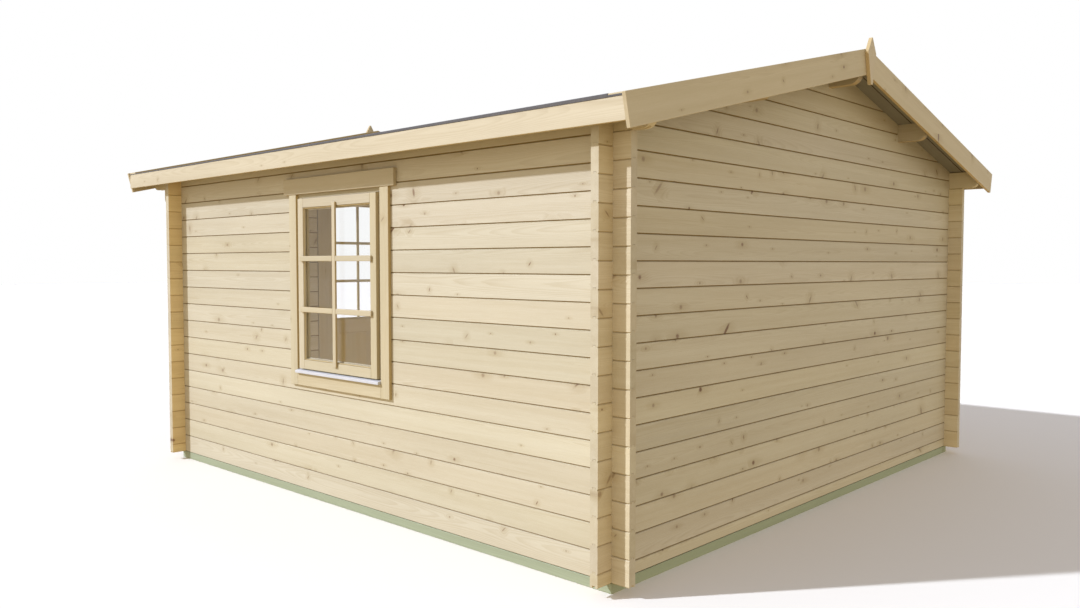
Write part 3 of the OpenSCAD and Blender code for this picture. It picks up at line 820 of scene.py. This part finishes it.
def door_lock():
    """Barrel, keyhole and screws on both faces of the handle's plate. The keyhole is a near-black
    block that paints the shade inside the key slot.
    """
    barrel, keyhole = bmesh.new(), bmesh.new()
    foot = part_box("door_handles")[0].z
    plate = [v.co for v in nodes["door_handles"].data.vertices if v.co.z < foot + IN_PLANE]
    x = sum(s.x for s in plate) / len(plate)
    for way, face in ((-1, min(s.y for s in plate)), (1, max(s.y for s in plate))):
        proud = face + way * LOCK_PROUD
        stud(barrel, (x, face, foot + LOCK_HEIGHT), LOCK_RADIUS, LOCK_PROUD, way)
        near, far = sorted((face, proud))
        board(barrel, (x - TAIL_HALF, near, foot + TAIL_FOOT),
              (x + TAIL_HALF, far, foot + TAIL_TOP), METAL_EASE)
        near, far = sorted((proud, face + way * KEYHOLE_PROUD))
        # Keyhole block in near-black metal, painted shade for the hollow of the key slot
        block(keyhole, (x - KEYHOLE_HALF, near, foot + KEYHOLE_FOOT),
              (x + KEYHOLE_HALF, far, foot + KEYHOLE_TOP))
        for height in PLATE_SCREWS:
            stud(barrel, (x, face, foot + height), SCREW_RADIUS, SCREW_HEAD, way)
    slot, leaf = SLOT_OF_NODE["door_handles"], BODY_OF_NODE["door_handles"]
    piece("door_lock", barrel, STEEL, slot, leaf)
    piece("door_keyhole", keyhole, KEYHOLE_SHADE, slot, leaf)


door_lock()


# Glass, which keeps its CAD shape

for node in ("window_glass", "left_leaf_glass", "right_leaf_glass"):
    mesh = nodes[node].data
    mesh.materials.clear()
    mesh.materials.append(GLASS)


# Studio

FLOOR_HALF, FLOOR_HEIGHT = 60.0, -0.0005
FLOOR_COLOUR = (0.85, 0.78, 0.61, 1.0)
HORIZON_WHITE, SKY_COLOUR = (1.0, 1.0, 1.0), (0.56, 0.58, 0.78)
GROUND_FILL = (0.87, 0.705, 0.48)
SUN_STRENGTH, SUN_ANGLE, SUN_COLOUR = 3.75, math.radians(1.6), (0.88, 1.0, 1.37)
SUN_WAY, SUN_AT = (-1.0, 0.77, -0.90), (6, -5, 6)
ROOM_LIGHT_WATTS, ROOM_LIGHT_SIZE, ROOM_LIGHT_AT = 17.0, 1.6, (0, 0.094, 2.05)

# Camera fitted to the photograph: its width and focal length in pixels, place, yaw and pitch
PHOTO_WIDTH, FOCAL_LENGTH, SENSOR = 1080.0, 897.0, 36.0
CAMERA_AT = (4.7274, 4.2549, 1.3453)
YAW, PITCH = 2.325679 + math.pi / 2, -0.044926


def studio_floor():
    """Pale floor that throws no light back on the cabin."""
    made, _, shader = blank_material("studio_floor")
    shader.inputs["Base Color"].default_value = FLOOR_COLOUR
    shader.inputs["Roughness"].default_value = 0.9
    shader.inputs["Specular IOR Level"].default_value = 0.1
    bm = bmesh.new()
    bmesh.ops.create_grid(bm, x_segments=1, y_segments=1, size=FLOOR_HALF,
                          matrix=Matrix.Translation((0, 0, FLOOR_HEIGHT)))
    mesh = bpy.data.meshes.new("studio_floor")
    bm.to_mesh(mesh)
    bm.free()
    mesh.materials.append(made)
    floor = put("studio_floor", mesh)
    floor.visible_diffuse = False


def studio_sky():
    """White around the horizon, cool above it, and a warm fill from below."""
    world = bpy.data.worlds.new("studio_light")
    scene.world = world
    world.use_nodes = True
    sky = world.node_tree
    toward = node_of(sky, "ShaderNodeTexCoord").outputs["Generated"]
    height = split_point(sky, toward)[2]
    glow = blend_colour(sky, ramp(sky, height, 0.28, 0.6), HORIZON_WHITE, SKY_COLOUR)
    glow = blend_colour(sky, ramp(sky, height, -0.03, -0.2), glow, GROUND_FILL)
    sky.links.new(glow, sky.nodes["Background"].inputs["Color"])


def key_light():
    sun = bpy.data.lights.new("key_light", "SUN")
    sun.energy = SUN_STRENGTH
    sun.angle = SUN_ANGLE
    sun.color = SUN_COLOUR
    light = put("key_light", sun)
    light.rotation_mode = "QUATERNION"
    light.rotation_quaternion = Vector(SUN_WAY).to_track_quat("-Z", "Y")
    light.location = SUN_AT


def inside_light():
    """Soft light under the ridge, so that the room shows through the window."""
    inside = bpy.data.lights.new("inside_light", "AREA")
    inside.energy = ROOM_LIGHT_WATTS
    inside.size = ROOM_LIGHT_SIZE
    light = put("inside_light", inside)
    light.location = ROOM_LIGHT_AT
    light.visible_camera = False
    light.visible_glossy = False


def photo_camera():
    camera = bpy.data.cameras.new("camera")
    camera.sensor_width = SENSOR
    camera.lens = SENSOR * FOCAL_LENGTH / PHOTO_WIDTH
    camera.clip_start, camera.clip_end = 0.1, 200.0
    view = put("camera", camera)
    view.location = CAMERA_AT
    view.rotation_mode = "QUATERNION"
    sight = Vector((math.cos(PITCH) * math.cos(YAW), math.cos(PITCH) * math.sin(YAW),
                    math.sin(PITCH)))
    view.rotation_quaternion = sight.to_track_quat("-Z", "Y")
    scene.camera = view


studio_floor()
studio_sky()
key_light()
inside_light()
photo_camera()
scene.view_settings.view_transform = "Standard"
